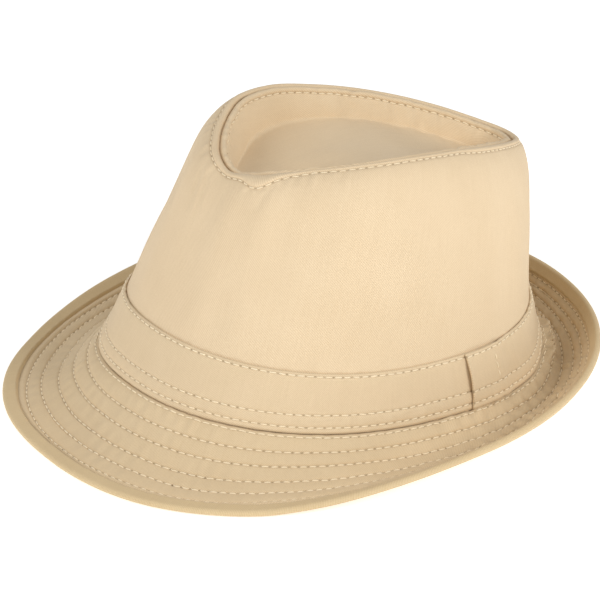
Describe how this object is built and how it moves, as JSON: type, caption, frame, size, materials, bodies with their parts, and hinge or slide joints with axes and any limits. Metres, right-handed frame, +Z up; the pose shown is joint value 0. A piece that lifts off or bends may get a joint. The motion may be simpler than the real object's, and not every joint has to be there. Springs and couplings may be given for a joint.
{
  "type": "trilby hat",
  "caption": "Soft cotton twill trilby with a teardrop crease, a self-cloth band and a narrow stitched brim turned up at the sides and back.",
  "frame": {"origin": "centre of the brim's outline, on the surface that the hat rests on", "axes": "-Y to the front of the hat, +X to the wearer's left, +Z up as the hat rests"},
  "size_m": [0.2352, 0.2668, 0.1145],
  "materials": {
    "crown_cloth": "fine cotton twill",
    "tip_cloth": "fine cotton twill",
    "band_cloth": "fine cotton twill",
    "brim_cloth": "stitched cotton twill",
    "binding_cloth": "cotton twill cut on the bias"
  },
  "bodies": {
    "root": {"crown_side": "crown_cloth", "crown_tip": "tip_cloth", "hat_band": "band_cloth", "brim": "brim_cloth", "brim_binding": "binding_cloth"}
  },
  "joints": []
}
